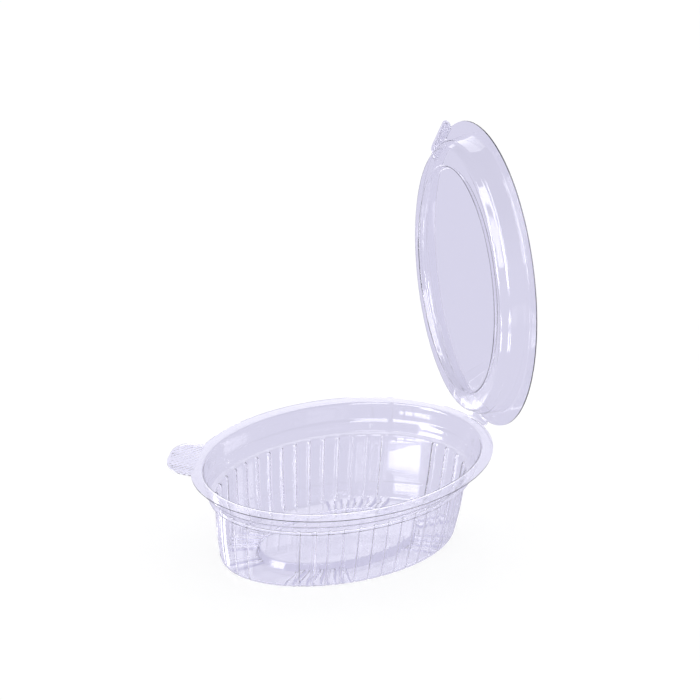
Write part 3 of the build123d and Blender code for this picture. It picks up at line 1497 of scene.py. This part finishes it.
@dataclass(frozen=True)
class Softbox:
    """A bright panel of the studio, seen in the gloss of the sheet.

    Attributes:
        azimuth: Its direction from the front, towards +X, in degrees.
        elevation: Its height above the horizon, in degrees.
        half_width: Half its width, in degrees.
        half_height: Half its height, in degrees.
        strength: Its brightness.
        softness: Width of its soft edge, in degrees.
    """

    azimuth: float
    elevation: float
    half_width: float
    half_height: float
    strength: float
    softness: float = 2.0

    def inputs(self) -> dict[str, float]:
        """Gives the panel group's inputs.

        Returns:
            Each input's value by its name.
        """
        return {
            "Azimuth": self.azimuth,
            "Elevation": self.elevation,
            "Half Width": self.half_width,
            "Half Height": self.half_height,
            "Softness": self.softness,
            "Strength": self.strength,
        }


@dataclass
class Studio:
    """Camera, world and floor.

    Attributes:
        rim_level: Height that the camera's fit refers to, in millimetres.
        distance: From the camera to that place.
        elevation: The camera's height above the horizon, in degrees.
        azimuth: The camera's side of the front, in degrees.
        roll: The camera's roll, in degrees.
        shift: How far the camera stands aside and up, in millimetres.
        lens: Focal length, in millimetres.
        sensor: Width of the sensor, in millimetres.
        sweep: Colour of the paper sweep that shows through the sheet and in its gloss.
        ceiling: Colour of the dim studio above.
        dusk: Where the one turns into the other, as shares of the way from below to above.
        board_shade: How much of the light on it the floor sends back, less in a shadow.
        board_glow: How much light it gives by itself.
        board_reach: Half the floor's length, in metres.
        boxes: The bright panels.
    """

    rim_level: float = 29.85
    distance: float = 900.0
    elevation: float = 32.155
    azimuth: float = 24.558
    roll: float = 3.532
    shift: tuple[float, float] = (1.876, 30.517)
    lens: float = 162.6
    sensor: float = 36.0
    sweep: Colour = (0.70, 0.685, 0.84)
    ceiling: Colour = (0.20, 0.20, 0.27)
    dusk: tuple[float, float] = (0.6, 0.85)
    board_shade: float = 0.3
    board_glow: float = 0.72
    board_reach: float = 4.0
    boxes: tuple[Softbox, ...] = (
        Softbox(azimuth=-10.0, elevation=42.0, half_width=10.0, half_height=29.0, strength=4.5),
        Softbox(azimuth=-46.0, elevation=42.0, half_width=20.0, half_height=20.0, strength=6.0),
        Softbox(azimuth=-38.0, elevation=-26.5, half_width=14.0, half_height=4.0, strength=6.5),
        Softbox(azimuth=-42.0, elevation=-17.0, half_width=12.0, half_height=1.5, strength=6.0),
        Softbox(azimuth=-60.0, elevation=4.0, half_width=14.0, half_height=10.0, strength=10.0),
        Softbox(azimuth=12.0, elevation=-12.0, half_width=8.0, half_height=4.0, strength=0.5),
        Softbox(azimuth=-137.0, elevation=-42.0, half_width=7.0, half_height=4.0, strength=3.0),
        Softbox(azimuth=-85.0, elevation=-45.0, half_width=14.0, half_height=12.0, strength=1.0),
        Softbox(azimuth=68.0, elevation=-23.0, half_width=10.0, half_height=6.0, strength=1.4),
        Softbox(azimuth=155.0, elevation=34.0, half_width=26.0, half_height=22.0, strength=1.7),
    )

    def camera(self) -> bpy.types.Object:
        """Places the camera at the photograph's viewing angle.

        Returns:
            The camera.
        """
        e, phi, rho = (math.radians(v) for v in (self.elevation, self.azimuth, self.roll))
        level = Vector((math.cos(phi), -math.sin(phi), 0.0))
        ahead = Vector((math.sin(phi), math.cos(phi), 0.0))
        forward = ahead * math.cos(e) - Vector((0, 0, 1)) * math.sin(e)
        above = ahead * math.sin(e) + Vector((0, 0, 1)) * math.cos(e)
        right = level * math.cos(rho) + above * math.sin(rho)
        up = above * math.cos(rho) - level * math.sin(rho)
        spot = right * self.shift[0] + up * self.shift[1] - forward * self.distance
        spot += Vector((0, 0, self.rim_level))
        lens = bpy.data.cameras.new("camera")
        lens.lens = self.lens
        lens.sensor_width = self.sensor
        lens.sensor_fit = "HORIZONTAL"
        lens.clip_start = 0.01
        camera = bpy.data.objects.new("camera", lens)
        place = Matrix((right, up, -forward)).transposed().to_4x4()
        place.translation = spot * MM
        camera.matrix_world = place
        bpy.context.collection.objects.link(camera)
        bpy.context.scene.camera = camera
        return camera

    def _box_group(self) -> bpy.types.NodeTree:
        """Writes the group that draws one bright panel by its place in the sky.

        Returns:
            The shader node group.
        """
        group = bpy.data.node_groups.new("softbox", "ShaderNodeTree")
        kinds = {name: "NodeSocketFloat" for name in self.boxes[0].inputs()}
        kinds["Direction"] = "NodeSocketVector"
        for name, kind in kinds.items():
            group.interface.new_socket(name=name, in_out="INPUT", socket_type=kind)
        group.interface.new_socket(name="Light", in_out="OUTPUT", socket_type="NodeSocketFloat")
        pen = NodeWriter(group)
        given = pen.add("NodeGroupInput").outputs
        parts = pen.add("ShaderNodeSeparateXYZ")
        pen.feed(parts.inputs[0], given["Direction"])
        back = pen.maths("MULTIPLY", parts.outputs["Y"], -1.0)
        azimuth = pen.maths("DEGREES", pen.maths("ARCTAN2", parts.outputs["X"], back))
        away = pen.maths("SUBTRACT", azimuth, given["Azimuth"])
        aside = pen.maths("ABSOLUTE", pen.maths("WRAP", away, 180.0, -180.0))
        height = pen.maths("DEGREES", pen.maths("ARCSINE", parts.outputs["Z"]))
        above = pen.maths("ABSOLUTE", pen.maths("SUBTRACT", height, given["Elevation"]))
        far_out = pen.maths("ADD", given["Half Width"], given["Softness"])
        wide = pen.span(aside, far_out, given["Half Width"])
        far_up = pen.maths("ADD", given["Half Height"], given["Softness"])
        tall = pen.span(above, far_up, given["Half Height"])
        light = pen.maths("MULTIPLY", pen.maths("MULTIPLY", wide, tall), given["Strength"])
        end = pen.add("NodeGroupOutput")
        pen.feed(end.inputs["Light"], light)
        return group

    def world(self) -> None:
        """Builds the world.

        Light that falls on a surface is plain white. What shows through the sheet or in its
        gloss is the paper sweep, the dim ceiling and, in the gloss alone, the bright panels.
        """
        world = bpy.data.worlds.new("studio")
        bpy.context.scene.world = world
        world.use_nodes = True
        tree = world.node_tree
        tree.nodes.clear()
        pen = NodeWriter(tree)
        way = pen.add("ShaderNodeTexCoord").outputs["Generated"]
        parts = pen.add("ShaderNodeSeparateXYZ")
        pen.feed(parts.inputs[0], way)
        rays = pen.add("ShaderNodeLightPath").outputs

        height = parts.outputs["Z"]
        dusk = pen.add("ShaderNodeValToRGB")
        pen.feed(dusk.inputs["Fac"], pen.maths("MULTIPLY_ADD", height, 0.5, 0.5))
        ramp = dusk.color_ramp
        ramp.elements[0].position = self.dusk[0]
        ramp.elements[0].color = (*self.sweep, 1.0)
        ramp.elements[1].position = self.dusk[1]
        ramp.elements[1].color = (*self.ceiling, 1.0)
        group = self._box_group()
        total: bpy.types.NodeSocket | float = 0.0
        for box in self.boxes:
            panel = pen.add("ShaderNodeGroup", node_tree=group)
            pen.feed(panel.inputs["Direction"], way)
            for name, value in box.inputs().items():
                panel.inputs[name].default_value = value
            total = pen.maths("ADD", panel.outputs["Light"], total)

        walls = pen.add("ShaderNodeBackground")
        pen.feed(walls.inputs["Color"], dusk.outputs["Color"])
        panels = pen.add("ShaderNodeBackground")
        shine = pen.maths("MULTIPLY", total, rays[Ray.GLOSSY.value])
        pen.feed(panels.inputs["Strength"], shine)
        seen = pen.add("ShaderNodeAddShader")
        pen.feed(seen.inputs[0], walls.outputs[0])
        pen.feed(seen.inputs[1], panels.outputs[0])
        plain = pen.add("ShaderNodeBackground")
        plain.inputs["Color"].default_value = (1.0, 1.0, 1.0, 1.0)
        plain.inputs["Strength"].default_value = 1.0
        clear = pen.maths("MAXIMUM", rays[Ray.TRANSMISSION.value], rays[Ray.GLOSSY.value])
        mix = pen.add("ShaderNodeMixShader")
        pen.feed(mix.inputs[0], clear)
        pen.feed(mix.inputs[1], plain.outputs[0])
        pen.feed(mix.inputs[2], seen.outputs[0])
        out = pen.add("ShaderNodeOutputWorld")
        pen.feed(out.inputs["Surface"], mix.outputs[0])

    def floor(self) -> bpy.types.Object:
        """Lays the white floor, which keeps the object's shadow.

        Returns:
            The floor.
        """
        mesh = bpy.data.meshes.new("floor")
        signs = ((-1, -1), (1, -1), (1, 1), (-1, 1))
        corners = [(x * self.board_reach, y * self.board_reach, 0) for x, y in signs]
        mesh.from_pydata(corners, [], [(0, 1, 2, 3)])
        floor = bpy.data.objects.new("floor", mesh)
        bpy.context.collection.objects.link(floor)
        material = bpy.data.materials.new("studio_floor")
        material.use_nodes = True
        tree = material.node_tree
        tree.nodes.clear()
        pen = NodeWriter(tree)
        rays = pen.add("ShaderNodeLightPath").outputs
        board = pen.add("ShaderNodeBsdfDiffuse")
        board.inputs["Color"].default_value = (*[self.board_shade] * 3, 1.0)
        glow = pen.add("ShaderNodeEmission")
        glow.inputs["Strength"].default_value = self.board_glow
        lit = pen.add("ShaderNodeAddShader")
        pen.feed(lit.inputs[0], board.outputs[0])
        pen.feed(lit.inputs[1], glow.outputs[0])
        hidden = pen.add("ShaderNodeBsdfTransparent")
        clear = pen.maths("MAXIMUM", rays[Ray.GLOSSY.value], rays[Ray.TRANSMISSION.value])
        mix = pen.add("ShaderNodeMixShader")
        pen.feed(mix.inputs[0], clear)
        pen.feed(mix.inputs[1], lit.outputs[0])
        pen.feed(mix.inputs[2], hidden.outputs[0])
        out = pen.add("ShaderNodeOutputMaterial")
        pen.feed(out.inputs["Surface"], mix.outputs[0])
        mesh.materials.append(material)
        return floor

    def build(self) -> None:
        """Builds the camera, the world and the floor."""
        self.camera()
        self.world()
        self.floor()
        scene = bpy.context.scene
        scene.view_settings.view_transform = "Standard"
        # Enough to see through several walls, which have two surfaces each.
        scene.cycles.max_bounces = 24
        scene.cycles.transmission_bounces = 24
        scene.cycles.glossy_bounces = 12
        scene.cycles.transparent_max_bounces = 16


def main() -> None:
    """Builds the cup, the lid, the strap and the studio, and reports each piece."""
    logging.basicConfig(level=logging.INFO, format="%(name)s: %(message)s")
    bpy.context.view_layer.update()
    Studio().build()
    finish = ClearSheet().build()
    relief = PressedRelief()
    cup, hinge = Cup(), Hinge()
    press = SheetPress(relief, relief.build(), finish, ReliefSizes(), cup.rim.sheet)
    # The lid's knurl rises away from the cup, so it can be deeper than the cup's own.
    # Its lines also get the full painted shade.
    lid_press = replace(press, sizes=ReliefSizes(knurl_depth=0.3, knurl_shade=1.0))
    lid, strap = Lid(cup, hinge), Strap(hinge, finish)
    pieces = [cup.build(press), lid.build(lid_press), strap.build()]
    for piece in pieces:
        triangles = sum(len(face.vertices) - 2 for face in piece.data.polygons)
        log.info("%s: %d triangles", piece.name, triangles)


if __name__ == "__main__":
    main()
